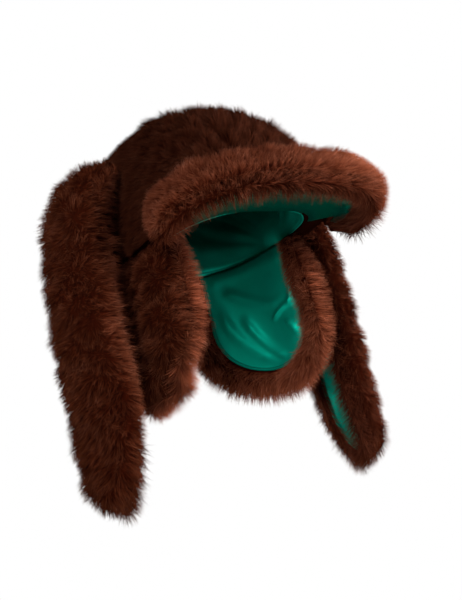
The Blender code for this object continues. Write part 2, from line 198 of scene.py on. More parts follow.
# %% Set the stage
FLOOR_HEIGHT = -0.62
FLOOR_RADIUS = 1.5
FLOOR_POINTS = 96
FLOOR_ROUGHNESS = 0.9
PALE = (0.80, 0.80, 0.80, 1.0)
WHITE = (1.0, 1.0, 1.0, 1.0)
FADE_START = 0.70
FADE_END = 1.45
WORLD_SEEN = 1.0
WORLD_LIGHT = 0.22
LAMPS = (
    {"name": "lamp_front", "place": (0.90, -1.20, 0.18), "size": 0.6, "watts": 100.0},
    {"name": "lamp_side", "place": (-1.20, -1.00, 0.20), "size": 0.6, "watts": 52.0},
    {"name": "lamp_behind", "place": (0.5, 1.6, 0.6), "size": 1.2, "watts": 115.0},
)


def make_lamp(row):
    """A square lamp that faces the hat."""
    lamp = bpy.data.objects.new(row["name"], bpy.data.lights.new(row["name"], "AREA"))
    lamp.data.energy = row["watts"]
    lamp.data.size = row["size"]
    place = Vector(row["place"])
    turn = (LOOKED_AT - place).to_track_quat("-Z", "Y").to_matrix().to_4x4()
    lamp.matrix_world = Matrix.Translation(place) @ turn
    bpy.context.scene.collection.objects.link(lamp)


def mix_floor():
    """Pale and matt. Alpha falls from 1 to 0 in an S as the distance from the hat's origin grows."""
    paint = Paint("pale_floor")
    place = paint.node("ShaderNodeTexCoord", {}, {}, "Object")
    reach = paint.node("ShaderNodeVectorMath", {"operation": "LENGTH"}, {0: place}, "Value")
    ends = {"Value": reach, "From Min": FADE_START, "From Max": FADE_END, "To Min": 1.0, "To Max": 0.0}
    fade = paint.node("ShaderNodeMapRange", {"interpolation_type": "SMOOTHSTEP"}, ends)
    return paint.finish({"Alpha": fade}, {"Base Color": PALE, "Roughness": FLOOR_ROUGHNESS})


def make_floor():
    """A level disc: one face whose corners are steps of a circle."""
    turn = np.linspace(0.0, 2 * math.pi, FLOOR_POINTS, endpoint=False)
    circle = np.stack([np.cos(turn), np.sin(turn)], axis=-1) * FLOOR_RADIUS
    mesh = bpy.data.meshes.new("floor")
    mesh.from_pydata([(x, y, FLOOR_HEIGHT) for x, y in circle], [], [tuple(range(FLOOR_POINTS))])
    mesh.materials.append(mix_floor())
    floor = bpy.data.objects.new("floor", mesh)
    bpy.context.scene.collection.objects.link(floor)


def make_world():
    """Strength = light, plus seen less light where the ray is the camera's own."""
    world = bpy.data.worlds.new("pale_world")
    world.use_nodes = True
    sky = world.node_tree.nodes["Background"]
    sky.inputs["Color"].default_value = WHITE
    ray = world.node_tree.nodes.new("ShaderNodeLightPath")
    strength = world.node_tree.nodes.new("ShaderNodeMapRange")
    strength.inputs["To Min"].default_value = WORLD_LIGHT
    strength.inputs["To Max"].default_value = WORLD_SEEN
    world.node_tree.links.new(ray.outputs["Is Camera Ray"], strength.inputs["Value"])
    world.node_tree.links.new(strength.outputs["Result"], sky.inputs["Strength"])
    bpy.context.scene.world = world


for lamp_row in LAMPS:
    make_lamp(lamp_row)
make_floor()
make_world()
print("lamps:", [row["name"] for row in LAMPS])

# %% [markdown]
# ## Fur colour
#
# Each hair is nearly black where it leaves the backing, deep brown along its length and
# lighter, redder at its tip, because less light reaches its lower part and the fibre is worn
# thin at the end. Each point of a hair carries three numbers. The one called "tip" runs from 0
# at the root to 1 at the tip, "tint" says how light the whole hair is, partly at random and
# partly as painted light and shade from its tuft, and the third is painted light and shade for
# the whole piece: darker on the crown, the flaps and the ears, lighter on the peak and the
# flaps' fringes. A ramp turns the first two into a colour, and the third scales it.

# %% Mix the fur
FUR_STOPS = (
    (0.00, (0.008, 0.0009, 0.0003)),
    (0.35, (0.028, 0.0062, 0.0027)),
    (0.65, (0.066, 0.0175, 0.0085)),
    (1.00, (0.175, 0.0650, 0.0390)),
)
TIP_REACH = 0.72
TINT_REACH = 0.34
PATCH_REACH = 0.20
PATCH_SCALE = 14.0
PATCH_DETAIL = 2.0
FIRST_PLACE = 0.06
FUR_ROUGHNESS = 0.75
ROUGHNESS_REACH = 0.16


def mix_fur():
    """Colour = painted light and shade times ramp(tip shifted by tint and slow patches), no gloss."""
    paint = Paint("brown_plush_fur")
    tint = paint.attribute("tint")
    patches = paint.noise(PATCH_SCALE, PATCH_DETAIL)
    place = paint.attribute("tip") * TIP_REACH + (tint - 0.5) * TINT_REACH
    place = place + (patches - 0.5) * PATCH_REACH + FIRST_PLACE
    dimming = {0: paint.ramp(place, FUR_STOPS), "Scale": paint.attribute("painted_light")}
    dimmed = paint.node("ShaderNodeVectorMath", {"operation": "SCALE"}, dimming)
    roughness = FUR_ROUGHNESS + (tint - 0.5) * ROUGHNESS_REACH
    return paint.finish({"Base Color": dimmed, "Roughness": roughness}, {"Specular IOR Level": 0.0})


fur_material = mix_fur()

# %% [markdown]
# ## Satin colour
#
# Satin floats its warp threads over the weft, so it is smooth along one way and shines in
# broad soft patches. Green satin reads as two tones, deep in the folds and bright where a
# fold faces the light; here slow noise mixes a brighter green into the deep one in patches, as
# a painted sheen. The weave is a fine ripple, and a dark stitched line follows the edge.
# Deep in the hollow little light gets in, so a number called "hidden" darkens the satin there.
# The satin's own map gives the distance along the edge and in from it, in metres.

# %% Mix the satin
SATIN_DEEP = (0.0005, 0.1000, 0.0680, 1.0)
SATIN_PAINTED_SHEEN = (0.0009, 0.1700, 0.1180, 1.0)
SATIN_HIDDEN = (0.0002, 0.0120, 0.0080, 1.0)
TONE_SCALE = 22.0
TONE_DETAIL = 3.0
STITCH_COLOUR = (0.0, 0.006, 0.004, 1.0)
STITCH_DARKNESS = 0.85
STITCH_DASH = 0.25
STITCH_DEPTH = 0.0004
STITCH_INSET = 0.0040
STITCH_PITCH = 0.0026
STITCH_WIDTH = 0.00075
WEAVE_PITCH = 0.0005
WEAVE_HEIGHT = 0.00002
SATIN_FINISH = {
    "Roughness": 0.50,
    "Metallic": 0.7,
    "Specular IOR Level": 0.0,
    "Specular Tint": (0.0, 0.55, 0.38, 1.0),
}


def mix_satin():
    """Colour = deep to bright, a painted sheen, by slow noise; painted shade where hidden; a darker dashed
    line.

    The line is 1 at its middle and 0 a stitch's width off, times a dash wave. The bump is the
    weave's ripple less the stitches' depth.
    """
    paint = Paint("green_satin")
    cloth_map = paint.node("ShaderNodeUVMap", {"uv_map": "cloth"}, {})
    along = paint.node("ShaderNodeSeparateXYZ", {}, {0: cloth_map}, "X")
    inward = Signal(paint, along.socket.node.outputs["Y"])
    # Painted sheen in slow patches, then painted shade where the satin is hidden in the hollow.
    tone = paint.mix(paint.noise(TONE_SCALE, TONE_DETAIL), SATIN_DEEP, SATIN_PAINTED_SHEEN)
    tone = paint.mix(paint.attribute("hidden"), tone, SATIN_HIDDEN)
    off_line = paint.node("ShaderNodeMath", {"operation": "ABSOLUTE"}, {0: inward - STITCH_INSET})
    ends = {"Value": off_line, "From Min": 0.0, "From Max": STITCH_WIDTH, "To Min": 1.0, "To Max": 0.0}
    on_line = paint.node("ShaderNodeMapRange", {}, ends)
    stitched = on_line * (paint.sine(along, STITCH_PITCH) * STITCH_DASH + (1.0 - STITCH_DASH))
    colour = paint.mix(stitched * STITCH_DARKNESS, tone, STITCH_COLOUR)
    height = paint.sine(along + inward, WEAVE_PITCH) * WEAVE_HEIGHT - stitched * STITCH_DEPTH
    normal = paint.node("ShaderNodeBump", {}, {"Height": height, "Distance": 1.0, "Strength": 0.5})
    return paint.finish({"Base Color": colour, "Normal": normal}, SATIN_FINISH)


satin_material = mix_satin()

# %% [markdown]
# ## Sizes
#
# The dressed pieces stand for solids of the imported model, so they are worked out from the
# same driving sizes. A fur piece is a satin layer, a padded backing and a pile. Each has a
# number of triangles to spend on its hairs, and a seed for where they stand.

# %% Name the sizes
HEAD_HALF_WIDTH = 0.082
HEAD_HALF_LENGTH = 0.100
HEAD_DEPTH = 0.123
DOME_POWER = 2.9
CROWN_LEAN = 0.020
SATIN = 0.0015
PADDING = 0.010
PILE = 0.024
GAP = 0.0003
LAYER_GAP = 0.0006
SEAT_GAP = 0.0019
FUR_LAYER = SATIN + LAYER_GAP
FUR_THICKNESS = PADDING + PILE

LOCK_PITCH = 0.038
LOCK_RELIEF = 0.0035
LOCK_WANDER = 0.25
LOCK_WANDER_PITCHES = 3.1
LOCK_SKEW = 0.2

SIDES = (
    {"side": "right", "sign": -1, "middle": 118, "flare": 4.0, "fold": 0.007, "drift": -0.005, "twist": 0},
    {"side": "left", "sign": 1, "middle": 120, "flare": 4.5, "fold": 0.002, "drift": 0.022, "twist": -9},
)
TRIANGLES = {"centre": 92000, "side": 112000, "peak": 112000, "flap": 104000, "ear": 112000}
SEEDS = {"centre": 21, "sides": (22, 23), "peak": 24, "flaps": (25, 26), "ears": (27, 28)}


def smooth_step(value):
    """0 below 0, 1 above 1, and an S between: 3 v squared less 2 v cubed."""
    held = np.clip(value, 0.0, 1.0)
    return held * held * (3.0 - 2.0 * held)


def locks(across, along):
    """Broad tufts: a sine across times a sine along, with wandering columns."""
    wander = LOCK_WANDER * np.sin(2 * math.pi * along / (LOCK_WANDER_PITCHES * LOCK_PITCH))
    column = np.sin(2 * math.pi * (across / LOCK_PITCH + wander))
    row = np.sin(2 * math.pi * (along / LOCK_PITCH + LOCK_SKEW * np.cos(across / LOCK_PITCH)))
    return column * row


def unit(vectors):
    """Vectors over their own length."""
    return vectors / np.maximum(np.linalg.norm(vectors, axis=-1, keepdims=True), 1e-12)


# %% [markdown]
# ## From grids to meshes
#
# Every surface here is a grid of points. A padded piece has two such grids, its face and its
# back, and a wall round their border closes them into one body. Where the two long sides of a
# grid meet on a middle line, like the halves of a tongue, the points are merged.


# %% Close a body
def grid_triangles(rows, columns, start):
    """Two triangles for each cell of a grid whose first point is number start."""
    row, column = np.meshgrid(np.arange(rows - 1), np.arange(columns - 1), indexing="ij")
    first = start + row * columns + column
    across, beyond, down = first + columns, first + columns + 1, first + 1
    upper = np.stack([first, across, beyond], axis=-1).reshape(-1, 3)
    lower = np.stack([first, beyond, down], axis=-1).reshape(-1, 3)
    return np.concatenate([upper, lower])


def border_path(rows, columns, folded):
    """Point numbers round a grid's edge, leaving out the last column where it is folded."""
    last_row = (rows - 1) * columns
    first = np.arange(columns - 1, 0, -1)
    side = np.arange(0, last_row + 1, columns)
    end = last_row + np.arange(1, columns)
    if folded:
        return np.concatenate([first, side, end])
    back = np.arange(last_row - 1, columns - 1, -columns)
    return np.concatenate([first, side, end, back, first[:1]])


def closed_body(face, back, folded):
    """Points and triangles of two like grids and the wall between their borders."""
    rows, columns = face.shape[:2]
    count = rows * columns
    points = np.concatenate([face.reshape(-1, 3), back.reshape(-1, 3)])
    path = border_path(rows, columns, folded)
    here, there = path[:-1], path[1:]
    walls = np.concatenate([
        np.stack([here, there, there + count], axis=-1),
        np.stack([here, there + count, here + count], axis=-1),
    ])
    behind = grid_triangles(rows, columns, count)[:, ::-1]
    return points, np.concatenate([grid_triangles(rows, columns, 0), behind, walls])


def fill_mesh(mesh, points, triangles):
    """Put arrays of points and triangles into a mesh."""
    mesh.vertices.add(len(points))
    mesh.vertices.foreach_set("co", np.ascontiguousarray(points, dtype=np.float32).ravel())
    mesh.loops.add(3 * len(triangles))
    mesh.loops.foreach_set("vertex_index", triangles.astype(np.int32).ravel())
    mesh.polygons.add(len(triangles))
    mesh.polygons.foreach_set("loop_start", np.arange(0, 3 * len(triangles), 3, dtype=np.int32))
    mesh.update(calc_edges=True)


# %% [markdown]
# Merging doubles and turning all faces outwards is a job for bmesh, which does both in one
# pass over the closed body.

# %% Weld a body
import bmesh

MERGE_DISTANCE = 1e-6


def welded_mesh(name, points, triangles, attributes):
    """A mesh with its doubles merged and its faces out, with a number a point for each name."""
    mesh = bpy.data.meshes.new(name)
    fill_mesh(mesh, points, triangles)
    for key, values in attributes.items():
        layer = mesh.attributes.new(key, "FLOAT", "POINT")
        layer.data.foreach_set("value", values.astype(np.float32).ravel())
    shape = bmesh.new()
    shape.from_mesh(mesh)
    bmesh.ops.remove_doubles(shape, verts=shape.verts, dist=MERGE_DISTANCE)
    bmesh.ops.recalc_face_normals(shape, faces=shape.faces)
    shape.to_mesh(mesh)
    shape.free()
    return mesh


def mesh_arrays(mesh):
    """The points and triangles of a mesh as arrays."""
    points = np.empty(3 * len(mesh.vertices), dtype=np.float32)
    mesh.vertices.foreach_get("co", points)
    triangles = np.empty(len(mesh.loops), dtype=np.int32)
    mesh.loops.foreach_get("vertex_index", triangles)
    return points.reshape(-1, 3), triangles.reshape(-1, 3)


# %% [markdown]
# ## Tufts
#
# Plush never lies evenly: neighbouring hairs cling together in small tufts with darker
# partings between them. A sum of sine waves in space, all with seeded directions, stands for
# that. Its peaks are the middles of the tufts, and its slope, which is known exactly, tells
# each hair which way to lean to join the nearest one. Its height also paints the hairs lighter
# on a crest and darker in a parting, as painted light and shade.

# %% Sum the waves
WAVE_COUNT = 14


def make_waves(shortest, longest, seed):
    """Seeded wave vectors and phases, with wavelengths spread between two lengths."""
    random = np.random.default_rng(seed)
    directions = unit(random.normal(size=(WAVE_COUNT, 3)))
    lengths = random.uniform(shortest, longest, size=(WAVE_COUNT, 1))
    return directions * (2 * math.pi / lengths), random.uniform(0.0, 2 * math.pi, WAVE_COUNT)


def tuft_field(points, waves):
    """Height of the wave sum, about -1 to 1, and its slope in each direction."""
    vectors, phases = waves
    phase = points @ vectors.T + phases
    share = math.sqrt(2.0 / WAVE_COUNT)
    return share * 0.7 * np.sin(phase).sum(axis=-1), share * np.cos(phase) @ vectors


SMALL_TUFTS = make_waves(0.0048, 0.0095, 11)
BROAD_TUFTS = make_waves(0.022, 0.036, 12)

# %% [markdown]
# ## Growing the hairs
#
# Blender's own hair isn't a mesh, and this hat has to be one. So each hair is a thin spike with
# three sides, which looks the same from all round. A flat ribbon would be dark from one side,
# because its shading turns over with the view. Long hairs lie flatter, and a shorter
# underfur stands between them. A hair starts at a random place of the skin, leans the way the
# fur lies, and gathers towards its tuft. All hairs of a piece are worked out together.

# %% Grow the hairs
ROOT_DEPTH = 0.0010
SWIRL = 0.45
GATHER = 0.0018
GATHER_SLOPE = 260.0
BROAD_PULL = 1.6
SMALL_WEIGHT = 0.6
SAG = 0.0008
SOFT_NORMAL = 0.80
TUFT_SHADE = 0.42
TUFT_PAINTED_LIGHT_AND_SHADE = 0.28
TUFT_STRETCH = 0.10
LONGEST = 1.04
SPREADS = {"lean": 0.16, "flow": 0.30, "length": 0.26, "radius": 0.3, "shade": 0.05, "tint": 0.14}
LONG_HAIR = {"stretch": 1.0, "rise": 1.0, "radius": 0.00034, "tint": 0.52, "tip": 1.0, "share": 0.55}
UNDERFUR = {"stretch": 0.86, "rise": 0.7, "radius": 0.00034, "tint": 0.40, "tip": 0.86, "share": 0.45}
THIRDS = np.arange(3) * 2 * math.pi / 3
CHANNELS = (3, 3, 3, 1, 1)


def pick_roots(skin, count, random):
    """Random places on the skin: cells by area times thickness of growth, then within a cell."""
    points, growth = skin["points"], skin["growth"]
    along = points[1:, :-1] - points[:-1, :-1]
    across = points[:-1, 1:] - points[:-1, :-1]
    area = np.linalg.norm(np.cross(along, across), axis=-1) * growth[:-1, :-1]
    chance = area.ravel() / area.sum()
    cell = random.choice(chance.size, size=count, p=chance)
    row, column = np.divmod(cell, area.shape[1])
    u, v = random.random((2, count))
    length, lean = skin["length"][..., None], skin["lean"][..., None]
    stack = np.concatenate([points, skin["normal"], skin["flow"], length, lean], axis=-1)
    near = stack[row, column] * (1 - v)[:, None] + stack[row, column + 1] * v[:, None]
    far = stack[row + 1, column] * (1 - v)[:, None] + stack[row + 1, column + 1] * v[:, None]
    picked = near * (1 - u)[:, None] + far * u[:, None]
    return np.split(picked, np.cumsum(CHANNELS)[:-1], axis=-1)


def turn_about(vectors, axes, angle):
    """Turn vectors that stand square to their axes by an angle in radians."""
    turned = np.cross(axes, vectors)
    return vectors * np.cos(angle)[:, None] + turned * np.sin(angle)[:, None]


def grow_hairs(skin, kind, count, random):
    """Spikes: their points, triangles, the three numbers of each point, and shading normals.

    A hair runs along normal times cos(lean) plus flow times sin(lean), plus a pull up the slope
    of the tuft waves. Its three root corners stand round it at its radius, a third of a turn
    apart. Its shading normal is mostly the skin's, tilted down the slope of its tuft.
    """
    root, normal, flow, length, lean = pick_roots(skin, count, random)
    normal = unit(normal)
    flow = unit(flow - normal * (flow * normal).sum(axis=-1, keepdims=True))
    lean = (lean[:, 0] * kind["rise"] * random.normal(1.0, SPREADS["lean"], count))[:, None]
    small, slope = tuft_field(root, SMALL_TUFTS)
    broad, broad_slope = tuft_field(root, BROAD_TUFTS)
    flow = turn_about(flow, normal, SWIRL * (broad + small) + random.normal(0.0, SPREADS["flow"], count))
    slope = slope + BROAD_PULL * broad_slope
    slope = slope - normal * (slope * normal).sum(axis=-1, keepdims=True)
    slope = slope / (np.linalg.norm(slope, axis=-1, keepdims=True) + GATHER_SLOPE)
    height = SMALL_WEIGHT * small + (1.0 - SMALL_WEIGHT) * broad
    length = length * kind["stretch"] * (LONGEST - SPREADS["length"] * random.random((count, 1)) ** 2)
    length = length * (1.0 + TUFT_STRETCH * height)[:, None]
    tip = root + (normal * np.cos(lean) + flow * np.sin(lean)) * length + GATHER * slope
    tip = tip - np.array([0.0, 0.0, SAG]) * (length / PILE)
    line = unit(tip - root)
    beside = unit(np.cross(line, flow + 0.01))
    first = turn_about(beside, line, random.uniform(0.0, 2 * math.pi, count))
    radials = [turn_about(first, line, np.full(count, turn)) for turn in THIRDS]
    radius = kind["radius"] * random.uniform(1.0 - SPREADS["radius"], 1.0 + SPREADS["radius"], (count, 1))
    base = root - normal * ROOT_DEPTH
    points = np.stack([base + radial * radius for radial in radials] + [tip], axis=1)
    shade = normal - TUFT_SHADE * slope + random.normal(0.0, SPREADS["shade"], normal.shape)
    normals = [SOFT_NORMAL * shade + (1.0 - SOFT_NORMAL) * radial for radial in [*radials, line]]
    start = 4 * np.arange(count)[:, None, None]
    # Painted light and shade: hairs on a tuft's crest are lighter, those in a parting darker.
    tint = kind["tint"] + TUFT_PAINTED_LIGHT_AND_SHADE * height + SPREADS["tint"] * random.normal(size=count)
    return {
        "points": points.reshape(-1, 3),
        "triangles": (start + np.array([[0, 1, 3], [1, 2, 3], [2, 0, 3]])).reshape(-1, 3),
        "tip": np.tile([0.0, 0.0, 0.0, kind["tip"]], count),
        "tint": np.repeat(np.clip(tint, 0.0, 1.0), 4),
        "painted_light": np.full(4 * count, skin["painted_light"]),
        "shading": unit(np.stack(normals, axis=1)).reshape(-1, 3),
    }


# %% [markdown]
# ## One fur piece
#
# A skin is a grid that hairs grow on, with what they need to know of it. A piece's backing and
# all its hairs are joined into one mesh. The backing's dark colour is painted shade, so that a
# parting between tufts looks deep. The shading normals lean towards the backing's, as they do
# in real plush, where so many fibres share the light that the pile shades like a soft surface.

# %% Join a fur piece
EDGE_STEPS = 6
EDGE_LEAN = math.radians(20.0)
EDGE_LENGTH = 0.0138
# The backing's low tip and tint paint it dark: painted shade in the depth of the pile.
SKIN_TIP = 0.10
SKIN_TINT = 0.30


def grid_normals(points, outward):
    """Unit normals of a grid from its own slopes, all on the side where outward points."""
    along, across = np.gradient(points, axis=0), np.gradient(points, axis=1)
    normal = unit(np.cross(along, across))
    side = np.sign((normal * outward).sum())
    return normal * side


def make_skin(points, normal, flow, length, lean, growth, share, painted_light):
    """A grid, how its hairs stand, how thickly they grow, and the piece's share of hairs on it."""
    over = points.shape[:2]
    return {
        "points": points,
        "normal": normal,
        "flow": np.broadcast_to(flow, points.shape),
        "length": np.broadcast_to(length, over),
        "lean": np.broadcast_to(lean, over),
        "growth": np.broadcast_to(growth, over),
        "share": share,
        "painted_light": painted_light,
    }


def edge_skin(face, back, flow, length, share, painted_light):
    """The narrow wall between the borders of face and back, bulged out, so that fur closes it.

    A point is the border's own at both ends of a half turn, and half the wall's height further
    out at its middle.
    """
    turn = np.linspace(0.0, math.pi, EDGE_STEPS + 1)[None, :, None]
    top, bottom = face[:, :1], back[:, :1]
    height = np.linalg.norm(top - bottom, axis=-1, keepdims=True)
    outward = unit(unit(top - face[:, 1:2]) + unit(bottom - back[:, 1:2]))
    points = (top + bottom) / 2 + (top - bottom) / 2 * np.cos(turn) + outward * height / 2 * np.sin(turn)
    normal = unit(outward * np.sin(turn) + unit(top - bottom) * np.cos(turn))
    return make_skin(points, normal, flow, length, EDGE_LEAN, 1.0, share, painted_light)


def backing_batch(node, body, painted_light):
    """The closed backing as one more batch, with its own soft normals."""
    backing = welded_mesh(f"{node}_backing", *body, {})
    points, triangles = mesh_arrays(backing)
    normals = np.empty(3 * len(points), dtype=np.float32)
    backing.vertices.foreach_get("normal", normals)
    bpy.data.meshes.remove(backing)
    return {
        "points": points,
        "triangles": triangles,
        "tip": np.full(len(points), SKIN_TIP),
        "tint": np.full(len(points), SKIN_TINT),
        "painted_light": np.full(len(points), painted_light),
        "shading": normals.reshape(-1, 3),
    }


def fur_piece(node, body, skins, triangle_budget, seed):
    """Join the backing and the hairs of each skin, and let the piece stand for its node."""
    random = np.random.default_rng(seed)
    batches = [backing_batch(node, body, skins[0]["painted_light"])]
    free = triangle_budget - len(batches[0]["triangles"])
    for skin in skins:
        for kind in (LONG_HAIR, UNDERFUR):
            count = int(skin["share"] * free * kind["share"] / 3)
            batches.append(grow_hairs(skin, kind, count, random))
    start = 0
    for batch in batches:
        batch["triangles"] = batch["triangles"] + start
        start += len(batch["points"])
    joined = {key: np.concatenate([batch[key] for batch in batches]) for key in batches[0]}
    mesh = bpy.data.meshes.new(node)
    fill_mesh(mesh, joined["points"], joined["triangles"])
    for key in ("tip", "tint", "painted_light"):
        layer = mesh.attributes.new(key, "FLOAT", "POINT")
        layer.data.foreach_set("value", joined[key].astype(np.float32))
    mesh.shade_smooth()
    mesh.normals_split_custom_set_from_vertices(joined["shading"])
    mesh.materials.append(fur_material)
    piece = bpy.data.objects.new(f"{node}_fur", mesh)
    bpy.context.scene.collection.objects.link(piece)
    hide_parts(node)
    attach(piece, "root")
    print(f"{piece.name}: {len(joined['triangles'])} triangles")


# %% [markdown]
# ## The crown
#
# The crown is a rounded box over the head, made of a centre panel from brow to nape and two
# side panels. Each point is a share of the width and a share of the arc from the front of the
# rim over the top to the back. The whole dome leans back a little, as a head does.

# %% Shape the dome
CENTRE_PANEL_HALF_WIDTH = 0.046
SEAM_WIDTH = 0.006
SEAM_DEPTH = 0.007
DOME_GIRTH = 1.3
TUFTS_START = 0.048
EAR_HALF_WIDTH = 0.024
EAR_FRINGE = 0.024
EAR_ROOT_Y = 0.032
EAR_ROOT_HEIGHT = 0.094


def crown_lean(height):
    """How far back the crown has leaned: the lean times an S from the rim to the top."""
    return CROWN_LEAN * smooth_step(height / HEAD_DEPTH)


def dome(width_share, arc_share, layer):
    """A point layer metres out from the head.

    x is the half width times its share. The arc's cosine and sine, raised to 2 over the
    dome's power and shrunk towards the sides, give y and z.
    """
    shrink = np.clip(1.0 - np.abs(width_share) ** DOME_POWER, 0.0, 1.0) ** (1.0 / DOME_POWER)
    turn_cos = np.cos(math.pi * arc_share)
    turn_sin = np.clip(np.sin(math.pi * arc_share), 0.0, 1.0)
    bend = 2.0 / DOME_POWER
    x = (HEAD_HALF_WIDTH + layer) * width_share
    y = -(HEAD_HALF_LENGTH + layer) * shrink * np.sign(turn_cos) * np.abs(turn_cos) ** bend
    z = (HEAD_DEPTH + layer) * shrink * turn_sin**bend
    return np.stack(np.broadcast_arrays(x, y + crown_lean(z), z), axis=-1)


def crown_seat(points):
    """Move points sideways onto the crown's fur, at their own height and depth."""
    layer = FUR_LAYER + FUR_THICKNESS + SEAT_GAP
    high = (np.abs(points[..., 2]) / (HEAD_DEPTH + layer)) ** DOME_POWER
    from_middle = points[..., 1] - crown_lean(points[..., 2])
    deep = (np.abs(from_middle) / (HEAD_HALF_LENGTH + layer)) ** DOME_POWER
    share = np.clip(1.0 - high - deep, 0.0, 1.0) ** (1.0 / DOME_POWER)
    seated = points.copy()
    seated[..., 0] = (HEAD_HALF_WIDTH + layer) * share
    return seated


def rim_radius(angle, layer):
    """How far the rim lies from the middle, at an angle from the front in radians."""
    wide = np.abs(np.sin(angle)) / (HEAD_HALF_WIDTH + layer)
    deep = np.abs(np.cos(angle)) / (HEAD_HALF_LENGTH + layer)
    return (wide**DOME_POWER + deep**DOME_POWER) ** (-1.0 / DOME_POWER)


# %% [markdown]
# The backing lies part of the way up the pile: the hairs make the rest. Along each seam the
# pile dips, which draws the notch that the outline shows.

# %% Dress the crown
INSET = 0.0095
HAIR_LENGTH = 0.0138
# Painted shade: the crown's hairs and backing are darkened to under a third.
CROWN_PAINTED_SHADE = 0.30
LEAN_FLAT = math.radians(42.0)
ARC_STEPS = 90
PANEL_STEPS = 30
EDGE_CLEARANCE = 0.0006
SIDE_FLOW = 0.25
CENTRE_BELOW_RIM = 0.02
FLOW_STEP = 1e-3


def seam_share():
    """Where the panels' seam lies, as a share of the dome's half width."""
    return CENTRE_PANEL_HALF_WIDTH / (HEAD_HALF_WIDTH + FUR_LAYER + FUR_THICKNESS)


def crown_pile(width_share, arc_share):
    """Thickness of the fur: padding and pile, less a dip at the seam, plus tufts up on the dome."""
    half_width = HEAD_HALF_WIDTH + FUR_LAYER + FUR_THICKNESS
    arc_length = math.pi * (HEAD_DEPTH + FUR_THICKNESS)
    from_seam = (np.abs(width_share) - seam_share()) * half_width
    groove = SEAM_DEPTH * np.exp(-((from_seam / SEAM_WIDTH) ** 2))
    shape = dome(width_share, arc_share, FUR_LAYER + FUR_THICKNESS)
    above_rim = smooth_step((shape[..., 2] - TUFTS_START) / LOCK_PITCH)
    mirrored = np.stack([np.abs(shape[..., 0]), shape[..., 1], shape[..., 2]], axis=-1)
    root = crown_seat(np.array([0.0, EAR_ROOT_Y, EAR_ROOT_HEIGHT]))
    from_root = np.linalg.norm(mirrored - root, axis=-1)
    clear_root = smooth_step((from_root - EAR_HALF_WIDTH - EAR_FRINGE) / LOCK_PITCH)
    tufts = LOCK_RELIEF * locks(width_share * half_width * DOME_GIRTH, arc_share * arc_length)
    return FUR_THICKNESS - groove + tufts * above_rim * clear_root


def dress_crown_panel(node, shares, down_way, budget, seed):
    """A crown panel whose fur lies along down_way, a step in width share and in arc share."""
    width_share, arc_share = np.meshgrid(shares, np.linspace(0.0, 1.0, ARC_STEPS + 1), indexing="ij")
    thickness = crown_pile(width_share, arc_share) - INSET
    face = dome(width_share, arc_share, FUR_LAYER + thickness)
    back = dome(width_share, arc_share, FUR_LAYER)
    across_ahead = np.clip(width_share + FLOW_STEP * down_way[0], -1.0, 1.0)
    arc_ahead = np.clip(arc_share + FLOW_STEP * down_way[1], 0.0, 1.0)
    top = FUR_LAYER + FUR_THICKNESS
    flow = dome(across_ahead, arc_ahead, top) - dome(width_share, arc_share, top)
    normal = grid_normals(face, face - np.array([0.0, 0.0, CENTRE_BELOW_RIM]))
    downwards = flow + np.array([0.0, 0.0, -1e-6])
    skin = make_skin(face, normal, downwards, HAIR_LENGTH, LEAN_FLAT, 1.0, 1.0, CROWN_PAINTED_SHADE)
    fur_piece(node, closed_body(face, back, False), [skin], budget, seed)


edge_share = seam_share() - EDGE_CLEARANCE / HEAD_HALF_WIDTH
centre_shares = np.linspace(-edge_share, edge_share, PANEL_STEPS + 1)
dress_crown_panel("crown_centre_panel", centre_shares, (0.0, 1.0), TRIANGLES["centre"], SEEDS["centre"])
side_start = math.asin(seam_share() + EDGE_CLEARANCE / HEAD_HALF_WIDTH)
side_shares = np.sin(np.linspace(side_start, 0.5 * math.pi, PANEL_STEPS + 1))
for side_row, side_seed in zip(SIDES, SEEDS["sides"]):
    panel = f"crown_side_panel_{side_row['side']}"
    down_way = (side_row["sign"] * 1.0, SIDE_FLOW)
    dress_crown_panel(panel, side_row["sign"] * side_shares, down_way, TRIANGLES["side"], side_seed)

# %% [markdown]
# ## The peak
#
# The peak is a stiff crescent over the brow. It is longest at the middle, tilts up in front
# and droops at its ends. Its fur rolls over the edge and a little way under, where the satin
# starts.

# %% Shape the peak
PEAK_HALF_ANGLE = 63.0
PEAK_LENGTH = 0.060
PEAK_CORNER_POWER = 5.0
PEAK_END_LENGTH = 0.010
PEAK_END_TAPER = 0.10
PEAK_END_FULLNESS = 0.4
PEAK_TILT_FRONT = 16.0
PEAK_TILT_END = -20.0
PEAK_FRINGE = 0.026
PEAK_FRINGE_SHARE = 0.6
PEAK_TUCK = 0.018
PEAK_LINING_REACH = 0.90
PEAK_LINING_SLACK = 0.001
PEAK_LINING_TAB_ANGLE = 46.0
PEAK_LINING_TAB_FADE = 5.0


def peak_length(angle_share):
    """The end's length plus the rest times the root of 1 less the share to the fifth power."""
    full = np.clip(1.0 - np.abs(angle_share) ** PEAK_CORNER_POWER, 0.0, 1.0)
    return PEAK_END_LENGTH + (PEAK_LENGTH - PEAK_END_LENGTH) * np.sqrt(full)


def peak_point(angle_share, out, up):
    """A point of the peak: out along its tilted plane from the crown, and up from its satin."""
    angle = np.radians(PEAK_HALF_ANGLE) * angle_share
    droop = (PEAK_TILT_FRONT - PEAK_TILT_END) * angle_share**4
    tilt = np.radians(PEAK_TILT_FRONT - droop)
    root = rim_radius(angle, FUR_LAYER + FUR_THICKNESS) + GAP
    held = np.where(out > 0.0, tilt, 0.0)
    leaned = np.maximum(up, 0.0) * np.sin(np.maximum(held, 0.0)) * (out > PADDING)
    radius = root + out * np.cos(held) - leaned
    z = out * np.sin(held) + up * np.cos(held)
    return np.stack([radius * np.sin(angle), -radius * np.cos(angle), z], axis=-1)


